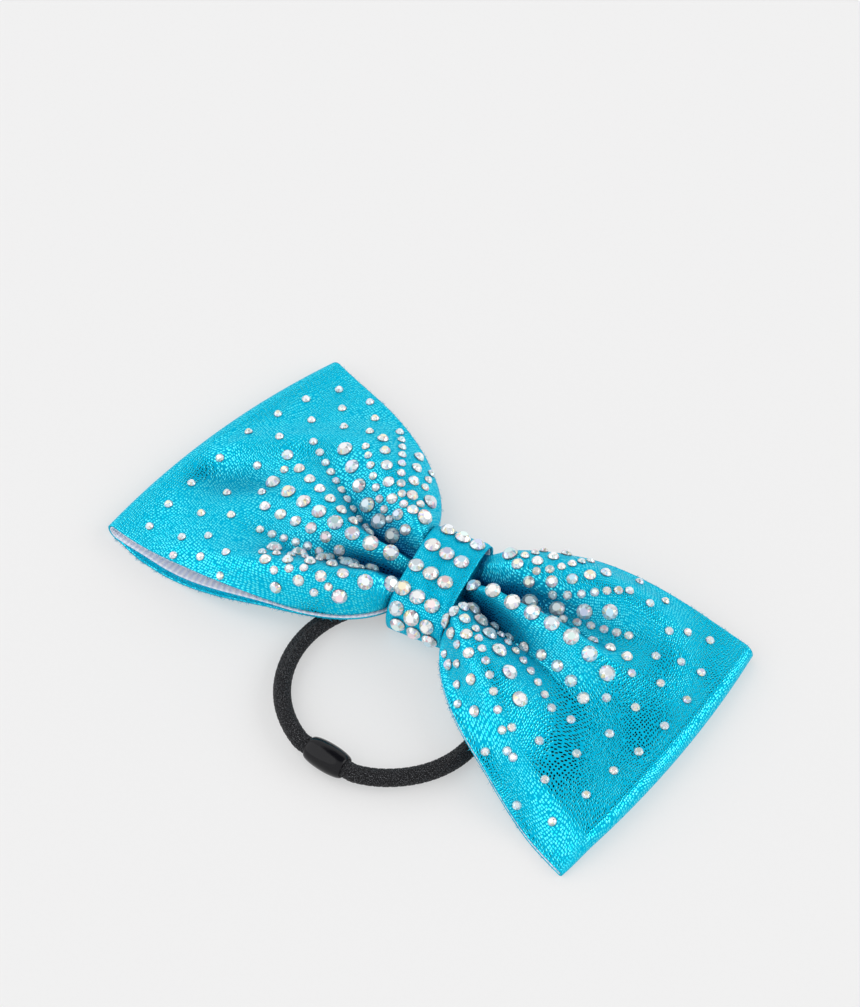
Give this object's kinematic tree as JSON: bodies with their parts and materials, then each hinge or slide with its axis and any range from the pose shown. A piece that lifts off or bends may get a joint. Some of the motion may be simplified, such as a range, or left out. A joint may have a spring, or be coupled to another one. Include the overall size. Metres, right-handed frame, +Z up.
{
  "type": "cheer hair bow",
  "caption": "Flat cheerleading hair bow with folded, pleated fabric loops, a wrapped centre band, glued crystals and a swinging round hair elastic.",
  "frame": {"origin": "on the surface that the bow lies on, below the middle of the fabric's bounding box", "axes": "+X from the left fold to the right fold, +Y across the ribbon away from the resting hair elastic, +Z up, out of the bow's face"},
  "size_m": [0.1496, 0.0937, 0.0186],
  "materials": {
    "foil_fabric": "matte stretch fabric with small foil dots",
    "ribbon": "ribbed white ribbon",
    "thread": "white thread",
    "braid": "braided black elastic",
    "core": "black rubber strands",
    "bead": "glossy black",
    "crystal": "faceted clear crystal with a foiled back"
  },
  "bodies": {
    "bow": {"outer_fabric": "foil_fabric", "ribbon_lining": "ribbon", "gathering_thread": "thread", "band_lining": "ribbon", "band_fabric": "foil_fabric", "crystal_left_ridge_1": "crystal", "crystal_left_ridge_2": "crystal", "crystal_left_ridge_3": "crystal", "crystal_left_ridge_4": "crystal", "crystal_left_ridge_5": "crystal", "crystal_left_ridge_6": "crystal", "crystal_left_ridge_7": "crystal", "crystal_left_ridge_8": "crystal", "crystal_right_ridge_1": "crystal", "crystal_right_ridge_2": "crystal", "crystal_right_ridge_3": "crystal", "crystal_right_ridge_4": "crystal", "crystal_right_ridge_5": "crystal", "crystal_right_ridge_6": "crystal", "crystal_right_ridge_7": "crystal", "crystal_right_ridge_8": "crystal", "crystal_band_1_1": "crystal", "crystal_band_1_2": "crystal", "crystal_band_1_3": "crystal", "crystal_band_2_1": "crystal", "crystal_band_2_2": "crystal", "crystal_band_2_3": "crystal", "crystal_band_3_1": "crystal", "crystal_band_3_2": "crystal", "crystal_band_3_3": "crystal", "crystal_band_4_1": "crystal", "crystal_band_4_2": "crystal", "crystal_band_4_3": "crystal", "crystal_band_5_1": "crystal", "crystal_band_5_2": "crystal", "crystal_band_5_3": "crystal", "crystal_band_6_1": "crystal", "crystal_band_6_2": "crystal", "crystal_band_6_3": "crystal"},
    "hair_tie": {"elastic_braided_sleeve": "braid", "elastic_rubber_core": "core", "elastic_joining_bead": "bead"}
  },
  "joints": [
    {"name": "hair_tie_swing", "type": "hinge", "parent": "bow", "child": "hair_tie", "pos_m": [0.00421, -0.00578, 0.0036], "axis": [0.9613, 0.2756, 0], "range_deg": [0, 180]}
  ]
}
